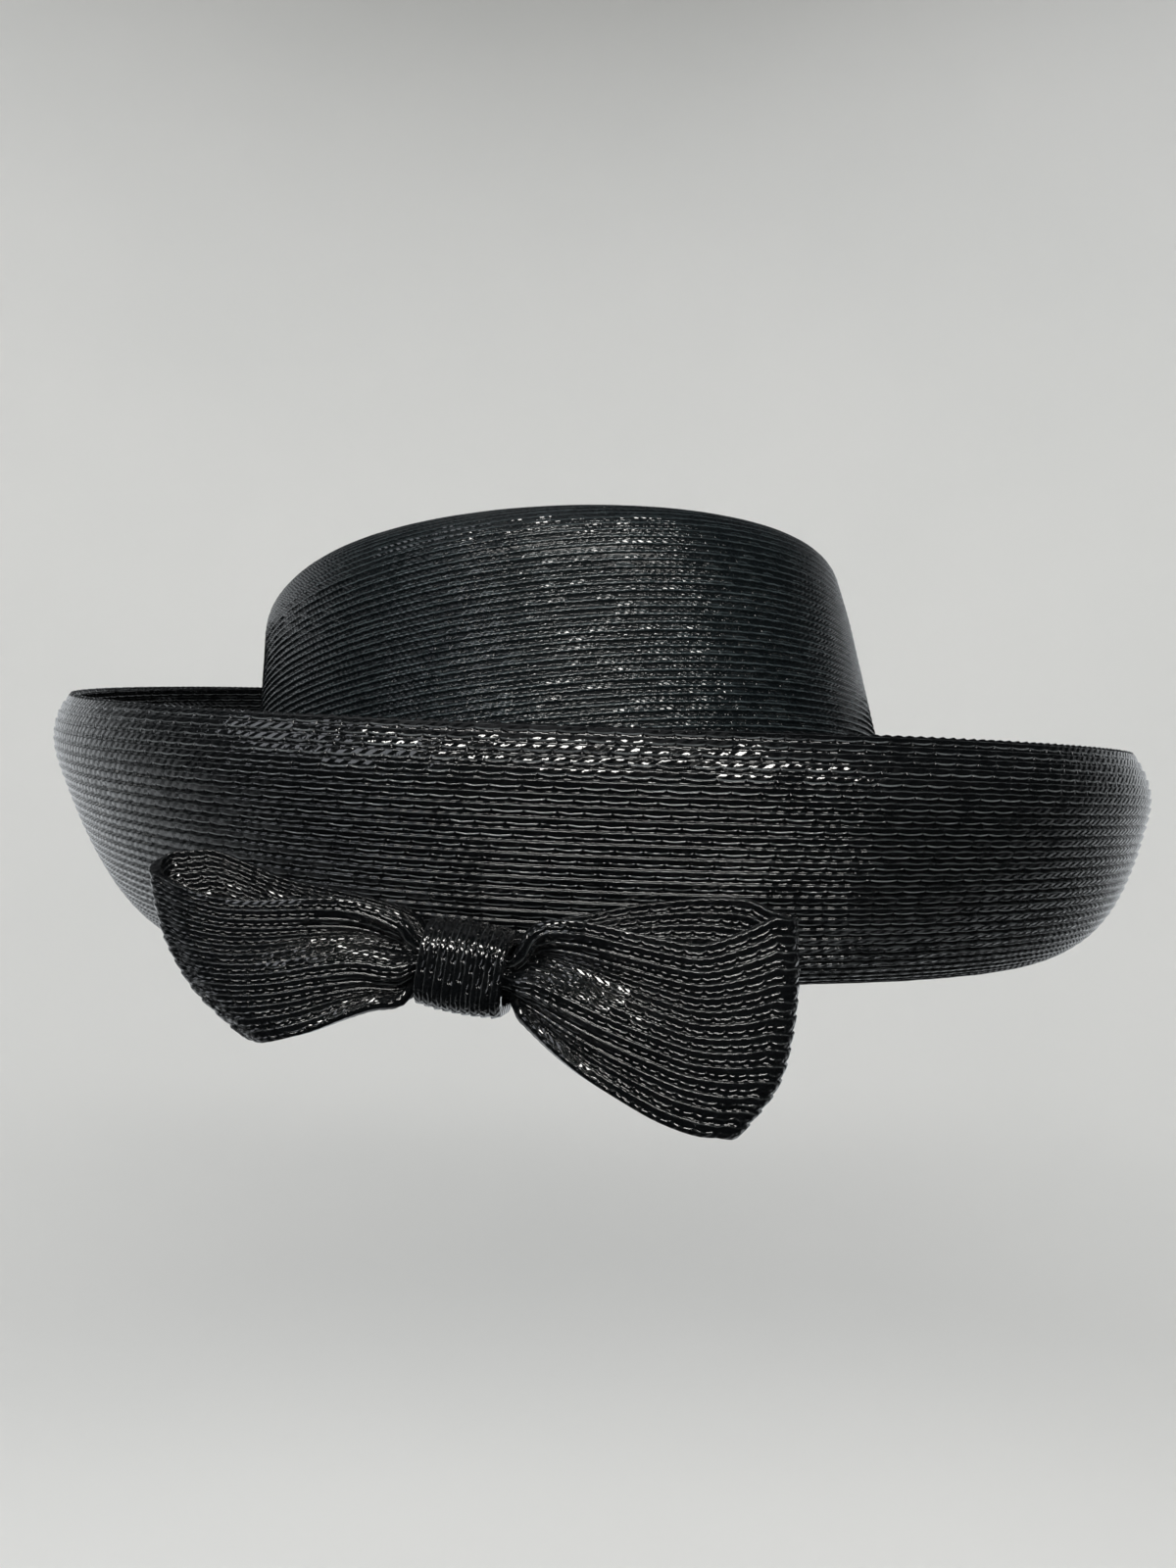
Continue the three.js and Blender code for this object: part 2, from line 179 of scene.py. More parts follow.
# The light all round that the lacquer mirrors: pale behind the hat, dim in front of it and overhead
paleLight = {
    "pale": "#dfe3e6", "strength": 0.85, "dim": 0.012, "facing": (0.05, 0.99, 0.05), "from": 0.0, "to": 0.85,
    "low": 0.1, "high": 0.5, "overhead": 0.12,
}
world = bpy.data.worlds.new("pale_light")
world.use_nodes = True
tree = world.node_tree
place = addNode(tree, "ShaderNodeTexCoord")
facing = addNode(tree, "ShaderNodeVectorMath", {"operation": "DOT_PRODUCT"}, {
    0: place.outputs["Generated"], 1: Vector(paleLight["facing"]).normalized(),
})
shade = addNode(tree, "ShaderNodeMapRange", {"interpolation_type": "SMOOTHSTEP"}, {
    0: facing.outputs["Value"], 1: paleLight["from"], 2: paleLight["to"],
    3: paleLight["dim"], 4: paleLight["strength"],
})
level = addNode(tree, "ShaderNodeSeparateXYZ", None, {0: place.outputs["Generated"]})
low = addNode(tree, "ShaderNodeMapRange", {"interpolation_type": "SMOOTHSTEP"}, {
    0: level.outputs[2], 1: paleLight["low"], 2: paleLight["high"], 3: 1.0, 4: paleLight["overhead"],
})
glow = addNode(tree, "ShaderNodeMath", {"operation": "MULTIPLY"}, {0: shade.outputs[0], 1: low.outputs[0]})
background = tree.nodes["Background"]
background.inputs["Color"].default_value = linearColour(paleLight["pale"])
tree.links.new(glow.outputs[0], background.inputs["Strength"])
bpy.context.scene.world = world
bpy.context.scene.view_settings.view_transform = "Standard"
print("stage and lights set")


# Straw. Every wall carries a braid map: x counts plaits along a row, y counts rows.

strawFinish = {
    "relief": 0.42 * mm, "grain": 3.8 * mm, "patch": 26 * mm, "ior": 1.5,
    "straws": 2.0, "drawnOut": 1.5,  # straws in a plait, and plaits by which a patch draws the braid out
    "dashPlace": 0.62, "dashSag": -0.5, "dashFall": 2.6, "dashEnds": 14.0,  # shares of a row
    "crestRise": 0.15, "crestFall": 2.4, "lineOffset": 0.05,
    "highlightBreakup": (3.0, -0.8), "dull": (0.35, 0.65),  # gain and start of the noise that breaks up the painted highlight lines, noise at which dullness turns
    "calmTop": 90 * mm, "calmDepth": 14 * mm, "calmRelief": 0.65,
}


# Lacquered straw braid: black dye under a clear hard coat, so it shows as sharp glints on dark plaits.
# A look gives the height of its dashes, lips, facets and noise, how far the plaits lean, which of them get
# painted highlights (pale lines in the base colour along lips and dashes), and how bright those are.
def strawMaterial(name, look):
    finish = strawFinish
    material = bpy.data.materials.new(name)
    material.use_nodes = True
    tree = material.node_tree
    shader = tree.nodes["Principled BSDF"]
    shader.inputs["IOR"].default_value = finish["ior"]
    shader.inputs["Specular IOR Level"].default_value = look["specular"]
    shader.inputs["Coat Weight"].default_value = look["coat"]
    shader.inputs["Coat Roughness"].default_value = look["coatRoughness"]

    braid = addNode(tree, "ShaderNodeUVMap", {"uv_map": "braid"})
    parts = addNode(tree, "ShaderNodeSeparateXYZ", None, {0: braid.outputs[0]})
    place = addNode(tree, "ShaderNodeTexCoord")
    uneven = addNode(tree, "ShaderNodeTexNoise", None, {
        "Vector": place.outputs["Object"], "Scale": 1 / finish["grain"], "Detail": 3.0, "Roughness": 0.6,
    })
    patch = addNode(tree, "ShaderNodeTexNoise", None, {
        "Vector": place.outputs["Object"], "Scale": 1 / finish["patch"], "Detail": 2.0,
    })
    heights = addNode(tree, "ShaderNodeSeparateXYZ", None, {0: place.outputs["Object"]})
    row = addNode(tree, "ShaderNodeMath", {"operation": "FLOOR"}, {0: parts.outputs[1]})
    chance = addNode(tree, "ShaderNodeTexWhiteNoise", {"noise_dimensions": "1D"}, {"W": row.outputs[0]})
    drawn = addNode(tree, "ShaderNodeMath", {"operation": "MULTIPLY_ADD"}, {
        0: patch.outputs["Fac"], 1: finish["drawnOut"], 2: parts.outputs[0],
    })
    along = addNode(tree, "ShaderNodeMath", {"operation": "ADD"}, {
        0: drawn.outputs[0], 1: chance.outputs["Value"],
    })
    cell = addNode(tree, "ShaderNodeMath", {"operation": "FLOOR"}, {0: along.outputs[0]})
    address = addNode(tree, "ShaderNodeCombineXYZ", None, {0: cell.outputs[0], 1: row.outputs[0]})
    glint = addNode(tree, "ShaderNodeTexWhiteNoise", {"noise_dimensions": "2D"}, {"Vector": address.outputs[0]})
    known = {
        "y": parts.outputs[1], "along": along.outputs[0], "glint": glint.outputs["Value"],
        "uneven": uneven.outputs["Fac"], "patch": patch.outputs["Fac"], "z": heights.outputs[2],
    }
    clamped = {
        "calm", "rise", "fall", "ends", "crestRise", "crestFall",
        "dashLine", "lipLine", "lucky", "highlightBreakup", "share",
    }
    for step, operation, *terms in [
        ("phase", "FRACT", "y"),
        ("plait", "FRACT", "along"),
        # a dash a little past the middle of each row: the edge of one straw, bent in its middle
        ("centre", "SUBTRACT", "plait", 0.5),
        ("bow", "MULTIPLY", "centre", "centre"),
        ("line", "MULTIPLY_ADD", "bow", finish["dashSag"], finish["dashPlace"]),
        ("past", "SUBTRACT", "phase", "line"),
        ("rise", "DIVIDE", "past", look["edge"]),
        ("fall", "MULTIPLY_ADD", "past", -finish["dashFall"], 1.0),
        ("ends", "MULTIPLY_ADD", "bow", -finish["dashEnds"], finish["dashEnds"] / 4),
        ("raised", "MULTIPLY", "rise", "fall"),
        ("dash", "MULTIPLY", "raised", "ends"),
        # the straws cross the row at a slant or in a chevron, each a shallow facet
        ("aside", "SUBTRACT", "phase", 0.5),
        ("bend", "ABSOLUTE", "aside"),
        ("skew", "MULTIPLY", "bend" if look["chevron"] else "phase", look["slant"]),
        ("lean", "MULTIPLY_ADD", "along", finish["straws"], "skew"),
        ("slope", "FRACT", "lean"),
        ("fromRidge", "SUBTRACT", "slope", 0.5),
        ("facet", "ABSOLUTE", "fromRidge"),
        # the lip of the row: a thin crest along its edge, then the body falls away
        ("crestRise", "DIVIDE", "phase", finish["crestRise"]),
        ("crestFall", "MULTIPLY_ADD", "phase", -finish["crestFall"], 1.0),
        ("crest", "MULTIPLY", "crestRise", "crestFall"),
        ("dashHeight", "MULTIPLY", "dash", look["dash"]),
        ("facetHeight", "MULTIPLY_ADD", "facet", look["facet"], "dashHeight"),
        ("lipHeight", "MULTIPLY_ADD", "crest", look["lip"], "facetHeight"),
        ("noiseHeight", "MULTIPLY_ADD", "uneven", look["noise"], "lipHeight"),
        # each plait leans up or down by its own amount, so that only some catch the light
        ("luck", "SUBTRACT", "glint", 0.5),
        ("leaning", "MULTIPLY", "luck", "phase"),
        ("height", "MULTIPLY_ADD", "leaning", look["tilt"], "noiseHeight"),
        # the straw is pressed flatter over the crown's shoulder and on top, so its bumps and the painted
        # highlight lines are weaker there
        ("calm", "MULTIPLY_ADD", "z", -1 / finish["calmDepth"], finish["calmTop"] / finish["calmDepth"]),
        ("strength", "MULTIPLY_ADD", "calm", 1 - finish["calmRelief"], finish["calmRelief"]),
        # painted highlights: thin pale lines in the base colour, standing in for the lacquer's glints, along
        # the dashes of some plaits and along the lips, broken up by noise
        ("lucky", "MULTIPLY_ADD", "glint", *look["pick"]),
        ("nearDash", "SUBTRACT", "past", finish["lineOffset"]),
        ("offDash", "ABSOLUTE", "nearDash"),
        ("dashLine", "MULTIPLY_ADD", "offDash", -1 / look["lineWidth"], 1.0),
        ("dashEnds", "MULTIPLY", "dashLine", "ends"),
        ("dashPick", "MULTIPLY", "dashEnds", "lucky"),
        ("lipSag", "MULTIPLY_ADD", "bow", look["lipSag"], look["lipPlace"]),
        ("nearLip", "SUBTRACT", "phase", "lipSag"),
        ("offLip", "ABSOLUTE", "nearLip"),
        ("lipLine", "MULTIPLY_ADD", "offLip", -1 / look["lineWidth"], 1.0),
        ("lipPaintedHighlight", "MULTIPLY", "lipLine", look["lipPaintedHighlight"]),
        ("lines", "MULTIPLY_ADD", "dashPick", look["dashPaintedHighlight"], "lipPaintedHighlight"),
        ("highlightBreakup", "MULTIPLY_ADD", "uneven", *finish["highlightBreakup"]),
        ("highlightBreakupHere", "MULTIPLY", "highlightBreakup", "strength"),
        ("share", "MULTIPLY", "lines", "highlightBreakupHere"),
    ]:
        known[step] = addNode(
            tree, "ShaderNodeMath", {"operation": operation, "use_clamp": step in clamped},
            {i: known.get(term, term) for i, term in enumerate(terms)},
        ).outputs[0]
    bump = addNode(tree, "ShaderNodeBump", None, {
        "Height": known["height"], "Strength": known["strength"], "Distance": finish["relief"],
    })
    tree.links.new(bump.outputs[0], shader.inputs["Normal"])
    tree.links.new(bump.outputs[0], shader.inputs["Coat Normal"])
    dye = addNode(tree, "ShaderNodeMix", {"data_type": "RGBA"}, {
        0: known["patch"], 6: linearColour(look["black"]), 7: linearColour(look["worn"]),
    })
    # painted highlights: the pale colour mixed into the base colour along the lip and dash lines
    tint = addNode(tree, "ShaderNodeMix", {"data_type": "RGBA"}, {
        0: known["share"], 6: dye.outputs[2], 7: linearColour(look["pale"]),
    })
    tree.links.new(tint.outputs[2], shader.inputs["Base Color"])
    rough = addNode(tree, "ShaderNodeMapRange", None, {
        0: known["uneven"], 1: finish["dull"][0], 2: finish["dull"][1],
        3: look["roughness"][0], 4: look["roughness"][1],
    })
    tree.links.new(rough.outputs[0], shader.inputs["Roughness"])
    return material


# Rows of braid as a Geometry Nodes tree: it lifts a wall along its outward direction by the profile of one row

rowFinish = {
    "waveLength": 6 * mm,  # of the unevenness that hand sewing leaves
    "slant": 0.25,  # of the straws, in plaits across one row
    "nudge": 0.0005,  # rows, so that a ring on a seam counts as the start of the next row
    "seed": 4,
}
# across one row, from its lip to the next one's, and the share of the relief there
rowProfile = [(0.0, 0.0), (0.04, 0.66), (0.1, 1.0), (0.18, 0.97), (0.5, 0.74), (0.8, 0.36), (1.0, 0.03)]


def braidRowTree():
    tree = bpy.data.node_groups.new("braid_rows", "GeometryNodeTree")
    face = tree.interface
    face.new_socket("Geometry", in_out="INPUT", socket_type="NodeSocketGeometry")
    for name, usual in (("Row Relief", 0.5 * mm), ("Plait Relief", 0.0), ("Unevenness", 0.05 * mm)):
        face.new_socket(name, in_out="INPUT", socket_type="NodeSocketFloat").default_value = usual
    face.new_socket("Seed", in_out="INPUT", socket_type="NodeSocketInt").default_value = rowFinish["seed"]
    face.new_socket("Material", in_out="INPUT", socket_type="NodeSocketMaterial")
    face.new_socket("Geometry", in_out="OUTPUT", socket_type="NodeSocketGeometry")
    start = addNode(tree, "NodeGroupInput")
    braid, outward = (
        addNode(tree, "GeometryNodeInputNamedAttribute", {"data_type": "FLOAT_VECTOR"}, {"Name": label})
        for label in ("rows", "outward")
    )
    parts = addNode(tree, "ShaderNodeSeparateXYZ", None, {0: braid.outputs[0]})
    nudged = addNode(tree, "ShaderNodeMath", {"operation": "ADD"}, {0: parts.outputs[1], 1: rowFinish["nudge"]})
    phase = addNode(tree, "ShaderNodeMath", {"operation": "FRACT"}, {0: nudged.outputs[0]})
    curve = addNode(tree, "ShaderNodeFloatCurve", None, {"Value": phase.outputs[0]})
    points = curve.mapping.curves[0].points
    for i, (x, y) in enumerate(rowProfile):
        point = points[i] if i < 2 else points.new(x, y)
        point.location = (x, y)
    curve.mapping.update()
    row = addNode(tree, "ShaderNodeMath", {"operation": "FLOOR"}, {0: nudged.outputs[0]})
    chance = addNode(tree, "FunctionNodeRandomValue", None, {
        "ID": row.outputs[0], "Seed": start.outputs["Seed"],
    })
    noise = addNode(tree, "ShaderNodeTexNoise", None, {"Scale": 1 / rowFinish["waveLength"], "Detail": 2.0})
    known = {
        "phase": phase.outputs[0], "plaits": parts.outputs[0], "reach": parts.outputs[2],
        "chance": chance.outputs[1], "profile": curve.outputs[0], "noise": noise.outputs["Fac"],
        "rowRelief": start.outputs["Row Relief"], "plaitRelief": start.outputs["Plait Relief"],
        "unevenness": start.outputs["Unevenness"],
    }
    for step, operation, *terms in [
        # two straws to a plait, each a shallow hump that leans along the row
        ("shifted", "ADD", "plaits", "chance"),
        ("slanted", "MULTIPLY", "phase", rowFinish["slant"]),
        ("lean", "ADD", "slanted", "shifted"),
        ("angle", "MULTIPLY", "lean", 2 * math.pi),
        ("wave", "SINE", "angle"),
        ("hump", "ABSOLUTE", "wave"),
        ("rowLift", "MULTIPLY", "profile", "rowRelief"),
        ("humpLift", "MULTIPLY_ADD", "hump", "plaitRelief", "rowLift"),
        ("swing", "SUBTRACT", "noise", 0.5),
        ("noiseLift", "MULTIPLY_ADD", "swing", "unevenness", "humpLift"),
        ("lift", "MULTIPLY", "noiseLift", "reach"),
    ]:
        known[step] = addNode(
            tree, "ShaderNodeMath", {"operation": operation},
            {i: known.get(term, term) for i, term in enumerate(terms)},
        ).outputs[0]
    shift = addNode(tree, "ShaderNodeVectorMath", {"operation": "SCALE"}, {
        0: outward.outputs[0], "Scale": known["lift"],
    })
    moved = addNode(tree, "GeometryNodeSetPosition", None, {
        "Geometry": start.outputs["Geometry"], "Offset": shift.outputs[0],
    })
    solid = addNode(tree, "GeometryNodeRealizeInstances", None, {"Geometry": moved.outputs[0]})
    coated = addNode(tree, "GeometryNodeSetMaterial", None, {
        "Geometry": solid.outputs[0], "Material": start.outputs["Material"],
    })
    addNode(tree, "NodeGroupOutput", None, {"Geometry": coated.outputs[0]})
    return tree


rowTree = braidRowTree()


# Runs the tree on the wall and keeps the result as a plain mesh, in place of a CAD node where one is named
def bakedPiece(name, mesh, values, replaced):
    holder = bpy.data.objects.new(name + "_wall", mesh)
    bpy.context.collection.objects.link(holder)
    modifier = holder.modifiers.new("braid", "NODES")
    modifier.node_group = rowTree
    sockets = {item.name: item.identifier for item in rowTree.interface.items_tree if item.in_out == "INPUT"}
    for key, value in values.items():
        modifier[sockets[key]] = value
    graph = bpy.context.evaluated_depsgraph_get()
    made = bpy.data.meshes.new_from_object(holder.evaluated_get(graph))
    bpy.data.objects.remove(holder)
    made.name = name
    made.shade_smooth()
    piece = bpy.data.objects.new(name, made)
    bpy.context.collection.objects.link(piece)
    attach(piece, "root")
    if replaced:
        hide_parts(replaced)
    print(f"{name}: {len(made.loop_triangles)} triangles")


# For the walls: the least length to divide by, how far a face's corners stay inside their row, a guard
# against rounding, and the distance in metres at which points are welded
wallLimits = {"least": 1e-12, "seam": 1e-4, "rounding": 1e-6, "weld": 1e-7}


# Outward directions of a grid of points, rings by columns. A ring that runs out takes its neighbour's.
def ringNormals(grid, wrapped, sign=1):
    if wrapped:
        along = np.roll(grid, -1, axis=1) - np.roll(grid, 1, axis=1)
    else:
        along = np.gradient(grid, axis=1)
    out = sign * np.cross(along, np.gradient(grid, axis=0))
    out /= np.maximum(np.linalg.norm(out, axis=2, keepdims=True), wallLimits["least"])
    for i in range(len(grid) - 2, -1, -1):
        flat = np.linalg.norm(out[i], axis=1) < 0.5  # zero, where the ring lies on its neighbours
        out[i][flat] = out[i + 1][flat]
    return out


# Closed wall from rings of points. rows counts braid rows at each ring, lift scales the relief there.
# A wall that isn't wrapped is a strip, outside face then inside face, whose two ends are closed here.
def wallMesh(name, grid, outward, rows, lift, plaitLength, wrapped=True, closed=True):
    rings, columns = grid.shape[:2]
    across = np.repeat(rows[:, None], columns, 1)
    plaits = np.zeros((rings, columns + 1))
    for i in range(rings):
        ring = np.vstack([grid[i], grid[i][:1]])
        lengths = np.concatenate([[0], np.cumsum(np.linalg.norm(np.diff(ring, axis=0), axis=1))])
        total = lengths[-1] if wrapped else lengths[-2]
        count = max(1, round(total / plaitLength)) if wrapped else total / plaitLength
        plaits[i] = lengths / max(total, wallLimits["least"]) * count
    bands = rings if closed else rings - 1
    steps = columns if wrapped else columns - 1
    i, j = np.meshgrid(np.arange(bands), np.arange(steps), indexing="ij")
    nextRing, nextColumn = (i + 1) % rings, (j + 1) % columns
    corners = [(i, j), (i, nextColumn), (nextRing, nextColumn), (nextRing, j)]
    faces = np.stack([ring * columns + column for ring, column in corners], axis=-1).reshape(-1, 4)
    # both ends of a face must lie in one row, or the pattern would run backwards across the seam
    middle = np.floor((across[i, j] + across[nextRing, j]) / 2 + wallLimits["rounding"])
    span = middle + wallLimits["seam"], middle + 1 - wallLimits["seam"]
    low, high = np.clip(across[i, j], *span), np.clip(across[nextRing, j], *span)
    left, right = plaits[i, j], plaits[i, j + 1]
    uv = np.stack([left, low, right, low, right, high, left, high], axis=-1).reshape(-1, 8)
    if not wrapped:
        k = np.arange(rings // 2 - 1)
        for end in (0, columns - 1):
            corners = np.stack([k, k + 1, rings - 2 - k, rings - 1 - k], axis=-1) * columns + end
            faces = np.vstack([faces, corners if end == 0 else corners[:, ::-1]])
            uv = np.vstack([uv, np.zeros((len(k), 8))])
    mesh = bpy.data.meshes.new(name)
    mesh.from_pydata(grid.reshape(-1, 3).tolist(), [], faces.tolist())
    mesh.uv_layers.new(name="braid").data.foreach_set("uv", uv.astype(np.float32).ravel())
    rowsData = np.stack([plaits[:, :columns], across, np.broadcast_to(lift, (rings, columns))], axis=-1)
    for label, data in (("rows", rowsData), ("outward", outward)):
        attribute = mesh.attributes.new(label, "FLOAT_VECTOR", "POINT")
        attribute.data.foreach_set("vector", data.astype(np.float32).ravel())
    work = bmesh.new()
    work.from_mesh(mesh)
    bmesh.ops.remove_doubles(work, verts=work.verts, dist=wallLimits["weld"])
    bmesh.ops.dissolve_degenerate(work, edges=work.edges, dist=wallLimits["weld"])
    if work.calc_volume(signed=True) < 0:  # faces point outwards
        bmesh.ops.reverse_faces(work, faces=work.faces)
    print(f"{name} wall: {sum(len(e.link_faces) != 2 for e in work.edges)} open edges")
    work.to_mesh(mesh)
    work.free()
    return mesh


# Row counts at which rings lie, from lowest to highest, so that each row gets the profile's corners
def rowRings(lowest, highest, phases):
    counts = [k + p for k in range(math.floor(lowest), math.ceil(highest) + 1) for p in phases]
    return np.array([c for c in counts if lowest <= c <= highest])


# Points at given arc distances along dense section lines; dense is columns by samples by 3
def arcPoints(dense, distance):
    steps = np.linalg.norm(np.diff(dense, axis=1), axis=2)
    arc = np.concatenate([np.zeros((len(dense), 1)), np.cumsum(steps, axis=1)], axis=1)
    out = np.empty((distance.shape[0], len(dense), 3))
    for j in range(len(dense)):
        for axis in range(3):
            out[:, j, axis] = np.interp(distance[:, j], arc[j], dense[j, :, axis])
    return out


def arcLengths(dense):
    return np.linalg.norm(np.diff(dense, axis=1), axis=2).sum(axis=1)


# Crown: the CAD's own form, with tilted rows of braid that close in over the top

crownSizes = {
    "width": 174, "length": 201.2, "height": 95.4, "dome": 4,
    "lean": (-10.8, 2.1), "slope": (0.0305, 0.0089),  # shift of the top, and its rise to the right and back
    "shoulder": 12.8, "shoulderRight": -4.2, "shoulderBack": 3.5,
    "tuck": 0.076, "tuckHeight": 0.45, "taper": (0.154, 0.094),  # shares by which foot and top draw in
    "wall": 1.7, "rowPitch": 1.65, "rowTilt": (0.0711, -0.0955), "tiltAt": 0.3, "plait": 3.2,
    "relief": 0.72, "uneven": 0.25, "sunk": 0.25, "insideLift": 0.6, "footLift": 0.4, "footEnd": 0.01,
    "topFlat": 0.85, "flatFrom": (-24, -10),  # relief lost over the shoulder, and where that begins and ends
    "columns": 132, "phases": (0.0, 0.1, 0.35, 0.7), "insidePhases": (0.0, 0.3),
    "wallSamples": 40, "shoulderSamples": 16, "topSamples": 40,
}


def crownHalfAxes(share):
    c = crownSizes
    tuck = c["tuck"] * np.maximum(0, 1 - share / c["tuckHeight"]) ** 2
    return (
        c["width"] / 2 * (1 - c["taper"][0] * share - tuck),
        c["length"] / 2 * (1 - c["taper"][1] * share - tuck),
    )


def crownPoint(turn, height, inset, spread):  # spread is how much of the half axes is left, for x and for y
    c = crownSizes
    share = height / c["height"]
    halfX, halfY = crownHalfAxes(share)
    x = (halfX - inset) * spread[0] * np.cos(turn)
    y = (halfY - inset) * spread[1] * np.sin(turn)
    rise = 1 + (c["slope"][0] * x + c["slope"][1] * y) / c["height"]
    return np.stack([x + c["lean"][0] * share, y + c["lean"][1] * share, height * rise], axis=-1)


# Dense lines from the foot over the shoulder to a short ridge on top, one for each turn
def crownSections(turns):
    c = crownSizes
    radius = c["shoulder"] + c["shoulderRight"] * np.cos(turns) + c["shoulderBack"] * np.sin(turns)
    lines = [
        crownPoint(turns, (c["height"] - radius) * share, 0, (1, 1))
        for share in np.linspace(0, 1, c["wallSamples"])
    ]
    for bend in np.linspace(0, math.pi / 2, c["shoulderSamples"])[1:]:
        lines.append(crownPoint(
            turns, c["height"] - radius * (1 - math.sin(bend)), radius * (1 - math.cos(bend)), (1, 1)
        ))
    halfX, halfY = crownHalfAxes(1)
    ends = (halfX - c["shoulder"], halfY - c["shoulder"])
    evenRadius = c["shoulder"] + c["shoulderBack"] * np.sin(turns)  # same on both sides, so the ridge closes
    for inward in np.linspace(0, 1, c["topSamples"])[1:]:
        left = (1 - inward, (ends[1] - ends[0] * inward) / ends[1])
        spread = (left[0] + left[1]) / 2
        inset = radius + (evenRadius - radius) * inward
        lines.append(crownPoint(turns, c["height"] + c["dome"] * (1 - spread ** 2), inset, left))
    return np.stack(lines, axis=1)


# Rings of the outer face, their row counts, and how much of the relief they get
def crownFace(phases):
    c = crownSizes
    turns = np.pi / 2 + 2 * np.pi * np.arange(c["columns"]) / c["columns"]
    dense = crownSections(turns)
    length = arcLengths(dense)
    wall = arcLengths(dense[:, :c["wallSamples"] + c["shoulderSamples"] - 1])
    halfX, halfY = crownHalfAxes(c["tiltAt"])
    start = -(c["rowTilt"][0] * halfX * np.cos(turns) + c["rowTilt"][1] * halfY * np.sin(turns))
    topRows = math.ceil((start + length).max() / c["rowPitch"])
    counts = rowRings(math.floor(start.min() / c["rowPitch"]), topRows, phases)
    level = counts[:, None] * c["rowPitch"]
    rim = start + wall
    onTop = (level - rim) / (topRows * c["rowPitch"] - rim)
    distance = np.where(level < rim, level - start, wall + onTop * (length - wall))
    distance = np.clip(distance, 0, length)
    # rows lie flatter over the shoulder and on top, and where they run out at the foot
    lift = 1 - c["topFlat"] * smoothStep(distance - wall, *c["flatFrom"])
    return arcPoints(dense, distance), counts, np.where(distance > c["footEnd"], lift, c["footLift"])


def buildCrown():
    c = crownSizes
    grid, counts, lift = crownFace(c["phases"])
    insideGrid, insideCounts, insideLift = crownFace(c["insidePhases"])
    normals, insideNormals = ringNormals(grid, True), ringNormals(insideGrid, True)
    normals[-1] = insideNormals[-1] = (0, 0, 1)  # both sides of the top's ridge meet
    outer = grid - normals * c["sunk"]
    inner = insideGrid - insideNormals * (c["wall"] - c["sunk"])
    return wallMesh(
        "crown", np.concatenate([outer[::-1], inner]) * mm,
        np.concatenate([normals[::-1], -insideNormals]), np.concatenate([counts[::-1], insideCounts]),
        np.concatenate([lift[::-1], insideLift * c["insideLift"]]), c["plait"] * mm, closed=False,
    )


# Satin straw: soft dark rows with broken glints and a cool tinge; the thin pale lines along the lips and on
# some dashes are painted highlights
crownStraw = {
    "black": "#07090b", "worn": "#0d1214", "pale": "#6a777b",
    "coat": 0.9, "coatRoughness": 0.07, "specular": 0.06, "roughness": (0.3, 0.5),
    "edge": 0.2, "dash": 0.8, "lip": 0.1, "facet": 0.5, "noise": 0.8, "tilt": 2.2,
    "chevron": False, "slant": 1.3,
    "pick": (3.0, -1.5), "lineWidth": 0.16, "lipPlace": 0.22, "lipSag": 0.3, "lipPaintedHighlight": 0.26, "dashPaintedHighlight": 0.2,
}
bakedPiece(
    "straw_crown", buildCrown(),
    {
        "Row Relief": crownSizes["relief"] * mm, "Unevenness": crownSizes["uneven"] * mm,
        "Material": strawMaterial("lacquered_straw_satin", crownStraw),
    },
    "crown",
)

# Brim: turned up all round, its rows counted from the curled edge inwards, the last three along the foot

brimSizes = {
    "reach": 52.6, "height": 58.4, "curl": 7.7, "curlStart": 0.8, "clearance": 0.3, "wall": 1.7,
    "rowPitch": 2.15, "footRows": 3, "plait": 4.9, "relief": 0.48, "uneven": 0.3, "sunk": 0.25,
    "insideLift": 0.8, "edgeRound": 0.3, "samples": 300, "columns": 232,
    "phases": (0.0, 0.04, 0.1, 0.18, 0.5, 0.8), "insidePhases": (0.0, 0.3),
}
brimRound = [  # how reach and height change round the brim
    {"waves": 0, "reachCos": 1, "reachSin": 0, "heightCos": 1, "heightSin": 0},
    {"waves": 1, "reachCos": 0.079, "reachSin": 0.032, "heightCos": -0.025, "heightSin": 0.307},
    {"waves": 2, "reachCos": 0.178, "reachSin": -0.077, "heightCos": -0.04, "heightSin": -0.021},
]
brimSection = [  # control points of the section, as shares of reach and height
    {"out": 0, "outRight": 0, "up": 0, "upRight": 0},
    {"out": 0.789, "outRight": 0.159, "up": -0.285, "upRight": 0},
    {"out": 0.842, "outRight": 0, "up": 0.56, "upRight": -0.046},
    {"out": 1, "outRight": 0, "up": 1, "upRight": 0},
]


def brimPoint(turn, share):  # a point of the outer face, from the foot, 0, to the edge, 1
    b = brimSizes
    footX, footY = crownHalfAxes(0.0)
    cos, sin = np.cos(turn), np.sin(turn)
    norm = np.hypot(footY * cos, footX * sin)
    weights = [(1 - share) ** 3, 3 * share * (1 - share) ** 2, 3 * share ** 2 * (1 - share), share ** 3]
    out = sum(w * (row["out"] + row["outRight"] * cos) for w, row in zip(weights, brimSection))
    rise = sum(w * (row["up"] + row["upRight"] * cos) for w, row in zip(weights, brimSection))
    out *= b["reach"] * sum(
        r["reachCos"] * np.cos(r["waves"] * turn) + r["reachSin"] * np.sin(r["waves"] * turn)
        for r in brimRound
    )
    rise *= b["height"] * sum(
        r["heightCos"] * np.cos(r["waves"] * turn) + r["heightSin"] * np.sin(r["waves"] * turn)
        for r in brimRound
    )
    out += b["clearance"] - b["curl"] * np.maximum(0, (share - b["curlStart"]) / (1 - b["curlStart"])) ** 2
    x, y = footX * cos + footY * cos / norm * out, footY * sin + footX * sin / norm * out
    return np.stack([x, y, rise], axis=-1)


